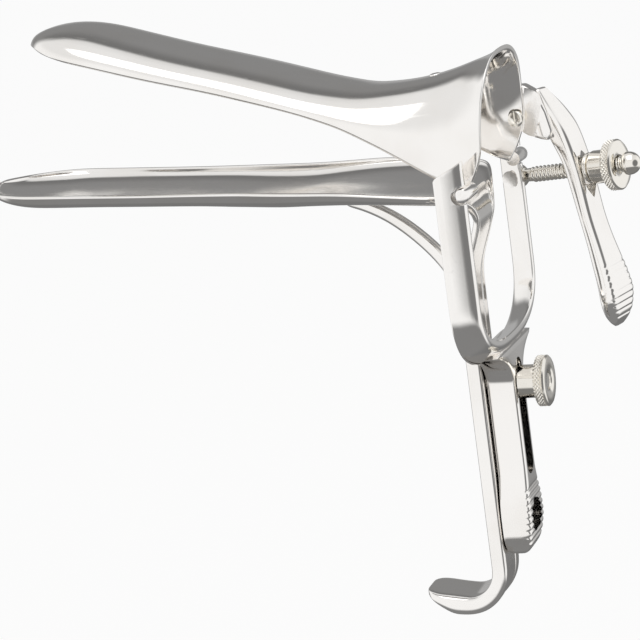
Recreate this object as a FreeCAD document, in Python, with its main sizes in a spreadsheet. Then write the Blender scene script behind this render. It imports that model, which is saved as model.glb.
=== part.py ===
import FreeCAD
import Part
import Sketcher
import math
import os
from FreeCAD import Vector, Placement, Rotation

os.makedirs("parts", exist_ok=True)
doc = FreeCAD.newDocument("bivalve_speculum")

# Driving sizes in millimetres and degrees. X points to the operator, Z up the
# shank, Y across. The pieces are drawn with Z zero at the lower blade's rim near
# the yoke, and moved at the end so that the finger hole is the origin.
SIZES = {
    "hinge_x": 7.4,
    "hinge_z": -0.3,
    "blade_wall": 1.5,
    "open_angle": 17.0,
    "upper_len": 115.6,
    "upper_half_width": 17.6,
    "upper_tip_round": 17.6,
    "collar_half_width": 19.0,
    "collar_top": 30.4,
    "collar_flare": 2.6,
    "ear_radius": 2.1,
    "ear_reach": 26.2,
    "fit_clear": 0.06,
    "lower_tip_x": 117.6,
    "lower_half_width": 18.4,
    "lower_slope": 3.5,
    "lower_crown_z": -3.1,
    "lower_rim_z": 3.4,
    "bend_radius": 32.0,
    "stem_front_x": -3.0,
    "stem_thick": 3.8,
    "stem_width": 13.2,
    "stem_bottom_z": -93.5,
    "foot_radius": 6.5,
    "foot_reach": 20.2,
    "foot_thick": 4.5,
    "foot_lip": 1.5,
    "arm_span": 25.5,
    "arm_top_z": 7.6,
    "arm_bend_z": -25.0,
    "fork_bottom_z": -40.0,
    "arm_depth": 6.2,
    "arm_wall": 2.6,
    "arm_toe": 28.7,
    "arm_front_x": 1.75,
    "shank_gap": 0.1,
    "shank_depth": 7.1,
    "shank_width": 9.0,
    "shank_bottom_z": -91.0,
    "slot_top_z": -43.5,
    "slot_bottom_z": -71.5,
    "slot_width": 5.4,
    "pad_width": 13.0,
    "pad_top_z": -73.0,
    "pad_rise": 0.3,
    "pad_hole_radius": 4.0,
    "pad_hole_z": -81.6,
    "frame_x": 5.0,
    "groove_pitch": 1.55,
    "groove_depth": 0.5,
    "stud_z": -49.4,
    "stud_radius": 2.0,
    "stud_bore": 2.06,
    "stud_end_x": 14.6,
    "stud_block_long": 7.0,
    "nut_disc_radius": 6.0,
    "nut_disc_thick": 2.6,
    "nut_hub_radius": 3.9,
    "nut_hub_len": 4.3,
    "nut_gap": 0.1,
    "rod_y": 27.3,
    "rod_z": -6.05,
    "rod_pivot_x": 5.4,
    "rod_rise": 4.2,
    "rod_radius": 1.9,
    "rod_len": 28.8,
    "side_yaw": 13.0,
    "rod_bore": 1.96,
    "eye_radius": 2.9,
    "eye_thick": 2.4,
    "pin_radius": 1.2,
    "pin_bore": 1.26,
    "cap_radius": 2.7,
    "cap_len": 3.7,
    "thumb_pad_width": 12.2,
    "lever_width": 9.1,
    "lever_thick": 3.4,
    "lever_slot_width": 5.0,
    "lever_nut_from": 18.95,
    "nut_nose_radius": 3.6,
    "nut_nose_len": 1.5,
    "screw_x": 9.6,
    "screw_z": 9.2,
    "screw_radius": 1.5,
    "screw_head_radius": 1.9,
    "screw_head_thick": 0.8,
}
sheet = doc.addObject("Spreadsheet::Sheet", "sizes")
for row, (name, value) in enumerate(SIZES.items(), start=1):
    sheet.set("A%d" % row, name)
    sheet.set("B%d" % row, str(value))
    sheet.setAlias("B%d" % row, name)
doc.recompute()


def size(name):
    return float(sheet.get(name))


def rad(angle):
    return math.radians(angle)


def plane(body, role):
    for item in body.Origin.OriginFeatures:
        if item.Role == role:
            return item


def new_body(name):
    body = doc.addObject("PartDesign::Body", name)
    return body


def sketch(body, name, role, edges, shift=0.0):
    """A closed sketch on an origin plane, moved along the plane's normal."""
    drawing = body.newObject("Sketcher::SketchObject", name)
    drawing.AttachmentSupport = [(plane(body, role), "")]
    drawing.MapMode = "FlatFace"
    drawing.AttachmentOffset = Placement(Vector(0, 0, shift), Rotation())
    for edge in edges:
        drawing.addGeometry(edge, False)
    doc.recompute()
    return drawing


def line(start, end):
    return Part.LineSegment(Vector(start[0], start[1], 0), Vector(end[0], end[1], 0))


def loop(points):
    """Straight sides through the points and back to the first one."""
    return [line(points[i], points[(i + 1) % len(points)]) for i in range(len(points))]


def circle(centre, radius):
    return [Part.Circle(Vector(centre[0], centre[1], 0), Vector(0, 0, 1), radius)]


def curve(points):
    spline = Part.BSplineCurve()
    spline.interpolate([Vector(p[0], p[1], 0) for p in points])
    return spline


def pad(body, name, drawing, length, both=True, back=False):
    feature = body.newObject("PartDesign::Pad", name)
    feature.Profile = drawing
    if isinstance(length, str):
        feature.setExpression("Length", length)
    else:
        feature.Length = length
    feature.Midplane = both
    feature.Reversed = back
    body.Tip = feature
    doc.recompute()
    return feature


def pocket(body, name, drawing, length, both=True, back=False):
    feature = body.newObject("PartDesign::Pocket", name)
    feature.Profile = drawing
    feature.Length = length
    feature.Midplane = both
    feature.Reversed = back
    body.Tip = feature
    doc.recompute()
    return feature


def solid(name, shape):
    feature = doc.addObject("Part::Feature", name)
    feature.Shape = shape
    return feature


def lathe(name, points, centre, axis):
    """A body turned from (distance along the axis, radius) points."""
    body = new_body(name)
    drawing = sketch(body, name + "_outline", "XY_Plane", loop(points))
    turn = body.newObject("PartDesign::Revolution", name + "_turn")
    turn.Profile = drawing
    turn.ReferenceAxis = (drawing, ["H_Axis"])
    turn.Angle = 360.0
    body.Tip = turn
    doc.recompute()
    body.Placement = Placement(Vector(*centre), Rotation(Vector(1, 0, 0), Vector(*axis)))
    doc.recompute()
    return body


def ease(share):
    share = min(max(share, 0.0), 1.0)
    return share * share * (3.0 - 2.0 * share)


# Blades. Each is a thin shell lofted through arched cross-sections.
def arch(origin, across, outward, half_width, depth, wall, power, flare=0.0, steps=14):
    """One closed section: an outer arch, an inner arch and the two rim edges."""
    outer = []
    inner = []
    for i in range(steps + 1):
        angle = math.pi * i / steps
        side = math.cos(angle)
        rise = math.sin(angle)
        side = math.copysign(abs(side) ** (2.0 / power), side)
        rise = rise ** (2.0 / power)
        wide = flare * ease((rise * depth - 4.0) / 10.0)
        outer.append(origin + across * (side * (half_width + wide)) + outward * (rise * depth))
        inner.append(origin + across * (side * (half_width + wide - wall)) + outward * (rise * (depth - wall)))
    top = Part.BSplineCurve()
    top.interpolate(outer)
    low = Part.BSplineCurve()
    low.interpolate(inner)
    return Part.Wire([
        top.toShape(),
        Part.LineSegment(outer[-1], inner[-1]).toShape(),
        low.toShape(),
        Part.LineSegment(inner[0], outer[0]).toShape(),
    ])


def filled_arch(origin, across, outward, half_width, depth, power, flare=0.0, steps=14):
    outer = []
    for i in range(steps + 1):
        angle = math.pi * i / steps
        side = math.cos(angle)
        rise = math.sin(angle)
        side = math.copysign(abs(side) ** (2.0 / power), side)
        rise = rise ** (2.0 / power)
        wide = flare * ease((rise * depth - 4.0) / 10.0)
        outer.append(origin + across * (side * (half_width + wide)) + outward * (rise * depth))
    top = Part.BSplineCurve()
    top.interpolate(outer)
    return Part.Wire([top.toShape(), Part.LineSegment(outer[-1], outer[0]).toShape()])


def smooth_rows(rows, stations):
    """Values of the rows' columns at the given stations, on smooth cubic curves."""
    keys = [row[0] for row in rows]
    out = []
    for station in stations:
        i = 0
        while i < len(keys) - 2 and station > keys[i + 1]:
            i += 1
        span_len = keys[i + 1] - keys[i]
        share = (station - keys[i]) / span_len
        values = [station]
        for column in range(1, len(rows[0])):
            slopes = []
            for k in (i, i + 1):
                low_k = max(k - 1, 0)
                high_k = min(k + 1, len(keys) - 1)
                before = (rows[k][column] - rows[low_k][column]) / max(keys[k] - keys[low_k], 1e-9)
                after = (rows[high_k][column] - rows[k][column]) / max(keys[high_k] - keys[k], 1e-9)
                if k == 0 or k == len(keys) - 1:
                    slopes.append(before + after)
                elif before * after <= 0:
                    slopes.append(0.0)
                else:
                    slopes.append(2 * before * after / (before + after))
            start = rows[i][column]
            end = rows[i + 1][column]
            s2 = share * share
            s3 = s2 * share
            values.append((2 * s3 - 3 * s2 + 1) * start + (s3 - 2 * s2 + share) * span_len * slopes[0]
                          + (3 * s2 - 2 * s3) * end + (s3 - s2) * span_len * slopes[1])
        out.append(values)
    return out


hinge = Vector(size("hinge_x"), 0, size("hinge_z"))
wall = size("blade_wall")
across = Vector(0, 1, 0)

# Upper blade, drawn level in the hinge's own frame and tilted by open_angle.
upper_len = size("upper_len")
blade_half = size("upper_half_width")
collar_half = size("collar_half_width")
collar_top = size("collar_top")
tip_rows = [(0.3, 1.75), (1.0, 2.4), (2.6, 3.6), (5.0, 4.9), (8.5, 6.0), (12.5, 6.6), (17.0, 6.8)]
nose = size("upper_tip_round")


def nose_width(half, back):
    """Half width of a blade at a distance back from its rounded tip."""
    share = min(back / nose, 1.0)
    return half * math.sqrt(1.0 - (1.0 - share) ** 2)


flare = size("collar_flare")
upper_shape = [
    (-upper_len + 17.0, 7.3, blade_half, 6.8, 2.4, 0.0),
    (-82.8, 7.2, blade_half, 6.3, 2.6, 0.0),
    (-62.8, 7.6, blade_half, 5.9, 2.6, 0.0),
    (-46.8, 7.4, blade_half, 5.9, 2.5, 0.0),
    (-34.8, 6.5, blade_half, 7.3, 2.4, 0.0),
    (-24.8, 4.5, blade_half + 0.3, 11.9, 2.3, 0.0),
    (-15.8, 2.2, collar_half - 0.6, 18.1, 2.25, 0.0),
    (-8.8, 0.4, collar_half, 24.2, 2.25, 0.0),
    (-4.3, -0.6, collar_half, 28.4, 2.4, 0.25 * flare),
    (-1.0, -0.9, collar_half, collar_top + 2.2, 2.6, 0.7 * flare),
    (4.2, -1.0, collar_half, collar_top + 6.4, 2.8, 1.2 * flare),
]
stations = [-upper_len + 17.0, -90.0, -78.0, -66.0, -55.0, -47.0, -41.0, -36.0, -32.0, -28.5, -25.0, -22.0,
            -19.0, -16.0, -13.0, -10.5, -8.0, -6.0, -4.0, -2.0, 0.0, 2.0, 4.2]
upper_rows = []
for back, depth in tip_rows[:-1]:
    upper_rows.append((-upper_len + back, 7.3, nose_width(blade_half, back), depth, 2.4, 0.0))
upper_rows += smooth_rows(upper_shape, stations)
wires = []
hulls = []
for row_x, rim_z, half, depth, power, widen in upper_rows:
    start = Vector(row_x, 0, rim_z)
    wires.append(arch(start, across, Vector(0, 0, 1), half, depth, wall, power, widen))
    hulls.append(filled_arch(start, across, Vector(0, 0, 1), half, depth, power, widen))
upper_shell = Part.makeLoft(wires, True, True, False)
collar_hull = Part.makeLoft(hulls[-12:], True, True, False)
# The mouth is trimmed to its side profile.
mouth = Part.BSplineCurve()
mouth.interpolate([Vector(x, -40, z) for x, z in [
    (2.0, -4.0), (2.9, 0.4), (3.2, 3.4), (2.8, 8.0), (2.1, 13.0), (1.4, 17.5), (0.1, 21.3),
    (-1.75, 27.6), (-2.5, collar_top), (-4.6, collar_top + 8.0)]])
far_line = Part.makePolygon([mouth.EndPoint, Vector(14, -40, collar_top + 8.0), Vector(14, -40, -4), mouth.StartPoint])
trim = Part.Face(Part.Wire([mouth.toShape()] + far_line.Edges)).extrude(Vector(0, 80, 0))
upper_shell = upper_shell.cut(trim)
ear_r = size("ear_radius")
ears = []
for side in (-1, 1):
    root = collar_half - wall - 0.5
    reach = size("ear_reach") - root
    base = Vector(0, side * root, 0)
    ear = Part.makeCylinder(ear_r, reach, base, Vector(0, side, 0))
    ears.append(ear)
upper_shell = upper_shell.multiFuse(ears).removeSplitter()
tilt = Rotation(Vector(0, 1, 0), size("open_angle"))
upper_place = Placement(hinge, tilt)
upper = solid("upper_blade", upper_shell)
upper.Placement = upper_place

# Lower blade: the fan of sections turns from the trough to the stem.
bend_r = size("bend_radius")
stem_front = size("stem_front_x")
lower_half = size("lower_half_width")
stem_half = size("stem_width") / 2
stem_t = size("stem_thick")
fan = Vector(stem_front - bend_r, 0, size("lower_crown_z") - bend_r)
rim_top = size("lower_rim_z")
slope = math.tan(rad(size("lower_slope")))
lower_wires = []
reach = stem_t + bend_r
# Angle about the bend, half width, wall, power of the arch, height of the rim.
fan_rows = [
    (0.0, stem_half, stem_t - 0.15, 12.0, rim_top - 3.6),
    (12.0, 8.0, 2.9, 6.0, rim_top - 3.6),
    (23.5, 10.2, 2.1, 3.4, rim_top - 3.4),
    (31.0, 12.8, 1.8, 2.9, rim_top - 3.2),
    (39.5, 15.7, wall, 2.6, rim_top - 2.8),
    (50.0, 17.4, wall, 2.4, rim_top - 1.9),
    (62.0, lower_half - 0.4, wall, 2.4, rim_top - 0.7),
    (76.0, lower_half, wall, 2.4, rim_top),
    (90.0, lower_half, wall, 2.4, rim_top),
]
for angle, half, thick, power, rim_z in smooth_rows(fan_rows, [5.0 * i for i in range(19)]):
    out = Vector(math.cos(rad(angle)), 0, math.sin(rad(angle)))
    to_back = (reach + 2.6 * ease((angle - 18.0) / 20.0)) / max(out.x, 0.01)
    to_rim = (rim_z - fan.z) / max(out.z, 0.01)
    corner = max(0.0, 1.0 - abs(to_back - to_rim) / 9.0)
    depth = min(to_back, to_rim) - bend_r - 1.2 * corner ** 2
    rim = fan + out * (bend_r + depth)
    lower_wires.append(arch(rim, across, out * -1.0, half, depth, thick, power))
lower_tip = -size("lower_tip_x")
trough_rows = [(-48.0, rim_top + 0.05, 5.75, lower_half), (-60.0, rim_top + 0.4, 5.25, lower_half),
               (-72.0, rim_top + 1.0, 5.05, lower_half), (-86.0, rim_top + 1.85, 5.0, lower_half)]
lower_tip_rows = [(0.3, 1.72), (1.0, 2.1), (2.6, 2.9), (5.0, 3.7), (8.5, 4.4), (12.5, 4.9), (17.0, 5.1)]
for back, depth in reversed(lower_tip_rows):
    rim_z = rim_top + 1.85 + (-86.0 - lower_tip - back) * slope
    trough_rows.append((lower_tip + back, rim_z, depth, nose_width(lower_half, back)))
for row_x, rim_z, depth, half in trough_rows:
    lower_wires.append(arch(Vector(row_x, 0, rim_z), across, Vector(0, 0, -1), half, depth, wall, 2.4))
lower_shell = Part.makeLoft(lower_wires, True, True, False)

# Stem and hook foot as one bent bar.
foot_r = size("foot_radius")
stem_back = stem_front + stem_t
bottom = size("stem_bottom_z")
bend_x = stem_front - foot_r
outer_r = foot_r + stem_t
tip_x = stem_front - size("foot_reach") + 3.0
lip = size("foot_lip")
outer_drop = foot_r + size("foot_thick")
low_z = bottom - outer_drop
heel = [(bend_x + outer_r * math.cos(rad(turn)), bottom - outer_drop * math.sin(rad(turn)))
        for turn in (0, 22.5, 45, 67.5, 90)]
bar = [
    line((stem_front, fan.z), (stem_back, fan.z)),
    line((stem_back, fan.z), (stem_back, bottom)),
    curve(heel),
    curve([(bend_x, low_z), (bend_x - 3.2, low_z + 0.1), (bend_x - 7.0, low_z + 2.3),
           (tip_x + 0.3, low_z + 4.6)]),
    line((tip_x + 0.3, low_z + 4.6), (tip_x, bottom - foot_r + lip)),
    curve([(tip_x, bottom - foot_r + lip), (bend_x - 5.0, bottom - foot_r + 0.8),
           (bend_x, bottom - foot_r)]),
    Part.Arc(
        Vector(bend_x, bottom - foot_r, 0),
        Vector(bend_x + foot_r * math.cos(rad(45)), bottom - foot_r * math.sin(rad(45)), 0),
        Vector(stem_front, bottom, 0)),
    line((stem_front, bottom), (stem_front, fan.z)),
]
stem = new_body("stem_bar")
drawing = sketch(stem, "stem_side", "XZ_Plane", bar)
pad(stem, "stem_pad", drawing, "sizes.stem_width")
# The two corners of the foot's tip are rounded off.
tip_round = 4.6
for side, label in ((-1, "near"), (1, "far")):
    centre = (tip_x + tip_round, side * (stem_half - tip_round))
    drawing = sketch(stem, "tip_corner_" + label, "XY_Plane", [
        Part.Arc(Vector(tip_x, centre[1], 0),
                 Vector(centre[0] - tip_round * math.cos(rad(45)),
                        centre[1] + side * tip_round * math.sin(rad(45)), 0),
                 Vector(centre[0], side * stem_half, 0)),
        line((centre[0], side * stem_half), (centre[0], side * (stem_half + 2.0))),
        line((centre[0], side * (stem_half + 2.0)), (tip_x - 2.0, side * (stem_half + 2.0))),
        line((tip_x - 2.0, side * (stem_half + 2.0)), (tip_x - 2.0, centre[1])),
        line((tip_x - 2.0, centre[1]), (tip_x, centre[1])),
    ])
    pocket(stem, "tip_cut_" + label, drawing, 4 * abs(bottom))
stem_shape = stem.Shape.copy()
bore = Part.makeCylinder(size("stud_radius"), 20, Vector(stem_front - 5, 0, size("stud_z")), Vector(1, 0, 0))
lower_shape = lower_shell.fuse(stem_shape).cut(bore).removeSplitter()
lower = solid("lower_blade", lower_shape)

# Yoke: two toed-in arms swept round the fork, then the neck, shank and pad.
span = size("arm_span")
arm_top = size("arm_top_z")
arm_bend = size("arm_bend_z")
fork_low = size("fork_bottom_z")
depth = size("arm_depth")
arm_wall = size("arm_wall")
front = size("arm_front_x")
toe = math.tan(rad(size("arm_toe"))) * depth / 2
yoke = new_body("yoke")
bend = []
for i in range(17):
    angle = math.pi * (1 + i / 16.0)
    bend.append((math.copysign(abs(math.cos(angle)) ** 0.78, math.cos(angle)) * span,
                 arm_bend - (arm_bend - fork_low) * abs(math.sin(angle)) ** 0.78))
path = sketch(yoke, "fork_path", "YZ_Plane", [
    line((-span, arm_top), (-span, arm_bend)),
    curve(bend),
    line((span, arm_bend), (span, arm_top)),
])
half = arm_wall / 2 / math.cos(rad(size("arm_toe")))
section = sketch(yoke, "arm_section", "XY_Plane", loop([
    (front, -span - toe - half),
    (front + depth, -span + toe - half),
    (front + depth, -span + toe + half),
    (front, -span - toe + half),
]), shift=arm_top)
sweep = yoke.newObject("PartDesign::AdditivePipe", "fork")
sweep.Profile = section
sweep.Spine = path
sweep.Mode = "Standard"
sweep.Transition = "Transformed"
yoke.Tip = sweep
doc.recompute()
shank_front = stem_back + size("shank_gap")
shank_back = shank_front + size("shank_depth")
shank_half = size("shank_width") / 2
low = size("shank_bottom_z")
pad_top = size("pad_top_z")
pad_half = size("pad_width") / 2
rise = size("pad_rise")
neck_top = fork_low + 1.2
outline = [
    line((-shank_half - 4.0, neck_top), (shank_half + 4.0, neck_top)),
    curve([(shank_half + 4.0, neck_top), (shank_half + 1.2, neck_top - 2.6), (shank_half, neck_top - 6.5)]),
    line((shank_half, neck_top - 6.5), (shank_half, pad_top + 2.0)),
    curve([(shank_half, pad_top + 2.0), (shank_half + 0.9, pad_top - 1.4), (pad_half, pad_top - 5.0)]),
    line((pad_half, pad_top - 5.0), (pad_half, low + pad_half)),
    Part.Arc(Vector(pad_half, low + pad_half, 0), Vector(0, low, 0), Vector(-pad_half, low + pad_half, 0)),
    line((-pad_half, low + pad_half), (-pad_half, pad_top - 5.0)),
    curve([(-pad_half, pad_top - 5.0), (-shank_half - 0.9, pad_top - 1.4), (-shank_half, pad_top + 2.0)]),
    line((-shank_half, pad_top + 2.0), (-shank_half, neck_top - 6.5)),
    curve([(-shank_half, neck_top - 6.5), (-shank_half - 1.2, neck_top - 2.6), (-shank_half - 4.0, neck_top)]),
]
drawing = sketch(yoke, "shank_outline", "YZ_Plane", outline, shift=shank_front)
pad(yoke, "shank", drawing, "sizes.shank_depth", both=False)
pad_points = [(shank_back, pad_top), (shank_back + rise * 0.9, pad_top - 5.0), (shank_back + rise, pad_top - 9.0),
              (shank_back + rise * 0.4, pad_top - 13.0), (shank_back - 1.2, low + 2.0)]
pad_side = [
    line((shank_back - 1.5, pad_top), (shank_back, pad_top)),
    curve(pad_points),
    line((shank_back - 1.2, low + 2.0), (shank_back - 1.5, low + 2.0)),
    line((shank_back - 1.5, low + 2.0), (shank_back - 1.5, pad_top)),
]
drawing = sketch(yoke, "pad_side", "XZ_Plane", pad_side)
pad(yoke, "pad_swell", drawing, "sizes.pad_width - 2")
slot_half = size("slot_width") / 2
slot_top = size("slot_top_z")
slot_low = size("slot_bottom_z")
drawing = sketch(yoke, "slot_outline", "YZ_Plane", [
    line((slot_half, slot_top - slot_half), (slot_half, slot_low + slot_half)),
    Part.Arc(Vector(slot_half, slot_low + slot_half, 0), Vector(0, slot_low, 0),
             Vector(-slot_half, slot_low + slot_half, 0)),
    line((-slot_half, slot_low + slot_half), (-slot_half, slot_top - slot_half)),
    Part.Arc(Vector(-slot_half, slot_top - slot_half, 0), Vector(0, slot_top, 0),
             Vector(slot_half, slot_top - slot_half, 0)),
])
pocket(yoke, "slot", drawing, 8 * depth)
drawing = sketch(yoke, "hole_outline", "YZ_Plane", circle((0, size("pad_hole_z")), size("pad_hole_radius")))
pocket(yoke, "pad_hole", drawing, 8 * depth)
# The pad's lower rear corner is rounded away.
drawing = sketch(yoke, "pad_heel", "XZ_Plane", [
    curve([(shank_back + 2.0, low + 6.5), (shank_back - 0.6, low + 2.6), (shank_back - 4.0, low - 0.6)]),
    line((shank_back - 4.0, low - 0.6), (shank_back + 2.0, low - 0.6)),
    line((shank_back + 2.0, low - 0.6), (shank_back + 2.0, low + 6.5)),
])
pocket(yoke, "pad_heel_cut", drawing, 4 * pad_half)
# Finger grooves across the pad, above and below its hole.
pitch = size("groove_pitch")
groove = size("groove_depth")
for i in range(9):
    z = pad_top - 1.6 - pitch * i
    x = smooth_rows([(-p[1], p[0]) for p in pad_points], [-z])[0][1]
    drawing = sketch(yoke, "pad_groove_%d" % i, "XZ_Plane", loop([
        (x - groove, z), (x + 0.6, z + groove + 0.1), (x + 0.6, z - groove - 0.1)]))
    pocket(yoke, "pad_groove_cut_%d" % i, drawing, 4 * pad_half)
# Arm tops fall away at the front and rise to a horn behind the ear.
drawing = sketch(yoke, "arm_tops", "XZ_Plane", [
    curve([(front - 1.0, arm_top - 6.0), (front + 0.6, arm_top - 3.2), (front + 2.6, arm_top - 2.1),
           (front + 4.6, arm_top - 1.9), (front + depth + 0.6, arm_top + 0.2)]),
    line((front + depth + 0.6, arm_top + 0.2), (front + depth + 0.6, arm_top + 4.0)),
    line((front + depth + 0.6, arm_top + 4.0), (front - 1.0, arm_top + 4.0)),
    line((front - 1.0, arm_top + 4.0), (front - 1.0, arm_top - 6.0)),
])
pocket(yoke, "arm_top_cut", drawing, 4 * span)
# Notches for the ears, open toward the operator.
notch_r = ear_r + size("fit_clear")
hx = size("hinge_x")
hz = size("hinge_z")
drawing = sketch(yoke, "ear_seats", "XZ_Plane", circle((hx, hz), notch_r))
pocket(yoke, "ear_seat", drawing, 4 * span)
# The linkage beside the fork is turned a little toward the middle: its own frame has X along the
# rod, Y across the lever and Z up, with its origin at the rod's pivot.
rod_y = size("rod_y")
rod_z = size("rod_z")
pivot_x = size("rod_pivot_x")
yaw = Rotation(Vector(0, 0, 1), -size("side_yaw"))
side_place = Placement(Vector(pivot_x, rod_y, 0), yaw)
eye_t = size("eye_thick")
gap = size("nut_gap")
pin_r = size("pin_radius")
seat_y = -eye_t / 2 - gap
pivot_here = Vector(0, 0, rod_z)
boss = Part.makeCylinder(pin_r + 0.8, 2.6, pivot_here + Vector(0, seat_y - 2.6, 0), Vector(0, 1, 0))
seat = Part.makeCylinder(size("eye_radius") + 0.6, 12.0, pivot_here + Vector(0, seat_y, 0), Vector(0, 1, 0))
pin_bore = Part.makeCylinder(pin_r, 20.0, pivot_here + Vector(0, -10.0, 0), Vector(0, 1, 0))
rise_angle = rad(size("rod_rise"))
rod_way = Part.makeCylinder(size("rod_radius") + 0.6, 14.0, pivot_here + Vector(pin_r + 0.9, 0, 0),
                            Vector(math.cos(rise_angle), 0, math.sin(rise_angle)))
for tool in (boss, seat, rod_way, pin_bore):
    tool.Placement = side_place
yoke_part = solid("yoke_fitted", yoke.Shape.fuse(boss).cut(seat).cut(rod_way).cut(pin_bore).removeSplitter())

# Rod pivot pin with its head outside the eye.
pin_start = seat_y - 2.3
pin_len = eye_t / 2 + gap - pin_start
rod_pin = lathe("rod_pin", [
    (0, 0), (0, pin_r), (pin_len, pin_r), (pin_len, pin_r + 0.9),
    (pin_len + 0.8, pin_r + 0.5), (pin_len + 0.8, 0),
], side_place.multVec(pivot_here + Vector(0, pin_start, 0)), yaw.multVec(Vector(0, 1, 0)))

# Threaded rod with a flat eye at the far arm, rising a little toward the operator.
rod_r = size("rod_radius")
along = yaw.multVec(Vector(math.cos(rise_angle), 0, math.sin(rise_angle)))
pivot = Vector(pivot_x, rod_y, rod_z)
rod_len = size("rod_len")
rod = new_body("lever_rod")
drawing = sketch(rod, "eye_outline", "XZ_Plane", circle((0, 0), size("eye_radius")))
pad(rod, "eye", drawing, "sizes.eye_thick")
drawing = sketch(rod, "rod_outline", "YZ_Plane", circle((0, 0), rod_r), shift=pin_r + 1.0)
pad(rod, "rod", drawing, rod_len - pin_r - 1.0, both=False)
drawing = sketch(rod, "eye_bore", "XZ_Plane", circle((0, 0), size("pin_bore")))
pocket(rod, "eye_hole", drawing, 4 * eye_t)
rod.Placement = Placement(pivot, yaw.multiply(Rotation(Vector(0, 1, 0), -size("rod_rise"))))

# Domed cap on the rod's end.
cap_r = size("cap_radius")
cap_len = size("cap_len")
cap_points = [(0, 0), (0, cap_r), (cap_len - cap_r, cap_r)]
for i in range(1, 8):
    angle = math.pi / 2 * (1 - i / 8.0)
    cap_points.append((cap_len - cap_r + cap_r * math.cos(angle), cap_r * math.sin(angle)))
cap_points.append((cap_len, 0))
rod_cap = lathe("rod_cap", cap_points, pivot + along * rod_len, along)


def knurled_nut(name, bore, centre, axis, nose=0.0):
    """A knurled disc on a plain hub; the nut on the rod has a grooved nose that bears on the lever."""
    hub_r = size("nut_hub_radius")
    hub_end = nose + size("nut_hub_len")
    disc_r = size("nut_disc_radius")
    disc_end = hub_end + size("nut_disc_thick")
    front = [(0, bore), (0, hub_r - 0.4), (0.4, hub_r)]
    if nose:
        nose_r = size("nut_nose_radius")
        front = [(0, bore), (0, nose_r - 0.4), (0.4, nose_r), (nose * 0.55, nose_r), (nose * 0.7, nose_r - 0.7),
                 (nose, nose_r - 0.7), (nose, hub_r - 0.4), (nose + 0.4, hub_r)]
    return lathe(name, front + [
        (hub_end, hub_r), (hub_end, disc_r - 0.5), (hub_end + 0.5, disc_r), (disc_end - 0.5, disc_r),
        (disc_end, disc_r - 0.5), (disc_end, bore),
    ], centre, axis)


lever_nut = knurled_nut("lever_nut", size("rod_bore"), pivot + along * (size("lever_nut_from") + gap), along,
                        size("nut_nose_len"))
clamp_nut = knurled_nut("clamp_nut", size("stud_bore"), (shank_back + gap, 0, size("stud_z")), (1, 0, 0))

# Clamp stud: a square block rides in the shank slot, the threaded end takes the nut.
stud_z = size("stud_z")
stud_r = size("stud_radius")
stud = new_body("clamp_stud")
drawing = sketch(stud, "stud_outline", "YZ_Plane", circle((0, stud_z), stud_r), shift=stem_front)
pad(stud, "stud_shaft", drawing, size("stud_end_x") - stem_front, both=False)
block_half = slot_half - size("fit_clear")
block_long = size("stud_block_long") / 2
drawing = sketch(stud, "block_outline", "YZ_Plane", loop([
    (-block_half, stud_z - block_long), (block_half, stud_z - block_long),
    (block_half, stud_z + block_long), (-block_half, stud_z + block_long)]), shift=stem_back)
pad(stud, "stud_block", drawing, shank_back - 1.2 - stem_back, both=False)

# Thumb lever, drawn in the linkage's frame: curved strip with a slot and a grooved pad.
width = size("lever_width")
strip_half = width / 2
thumb_half = size("thumb_pad_width") / 2
back_curve = [(10.6, 15.6), (13.6, 9.8), (15.9, 5.4), (18.0, -1.8), (19.0, -6.5), (19.7, -11.6), (20.4, -16.0),
              (21.6, -20.9), (23.0, -26.0), (24.2, -30.5), (24.9, -34.5), (24.7, -38.0), (23.7, -41.0),
              (22.6, -42.6)]
front_curve = [(21.9, -42.2), (21.4, -38.6), (20.8, -35.0), (20.3, -31.5), (19.2, -26.0), (17.7, -19.2),
               (16.1, -11.5), (14.8, -4.6), (12.4, 2.6), (10.6, 7.0), (8.6, 12.2)]
lever = new_body("thumb_lever")
drawing = sketch(lever, "lever_side", "XZ_Plane", [
    curve(back_curve),
    line(back_curve[-1], front_curve[0]),
    curve(front_curve),
    line(front_curve[-1], back_curve[0]),
])
pad(lever, "lever_strip", drawing, width + 6.0)
# The strip seen from the operator: a rounded root, straight sides and a broad round thumb pad.
face = [
    line((-strip_half, 15.8), (-strip_half, -18.0)),
    curve([(-strip_half, -18.0), (-strip_half - 0.4, -24.0), (-thumb_half, -32.0), (-thumb_half + 0.5, -37.0),
           (-thumb_half + 2.6, -40.8), (0.4, -42.7), (thumb_half - 2.2, -41.0), (thumb_half - 0.4, -37.0),
           (thumb_half, -32.0), (strip_half + 0.4, -24.0), (strip_half, -18.0)]),
    line((strip_half, -18.0), (strip_half, 6.0)),
    curve([(strip_half, 6.0), (strip_half - 0.8, 9.8), (strip_half - 2.9, 12.8), (-1.4, 15.0),
           (-strip_half, 15.8)]),
]
room = [(-width, 24.0), (width, 24.0), (width, -60.0), (-width, -60.0)]
drawing = sketch(lever, "lever_face", "YZ_Plane", loop(room) + face, shift=20.0)
pocket(lever, "lever_trim", drawing, 60.0)
slot_w = size("lever_slot_width") / 2
drawing = sketch(lever, "slot_face", "YZ_Plane", loop([
    (0, -0.2), (slot_w, -2.6), (slot_w, -9.0), (0, -11.8), (-slot_w, -9.0), (-slot_w, -2.6)]), shift=18.0)
pocket(lever, "lever_slot", drawing, 24.0)
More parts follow.
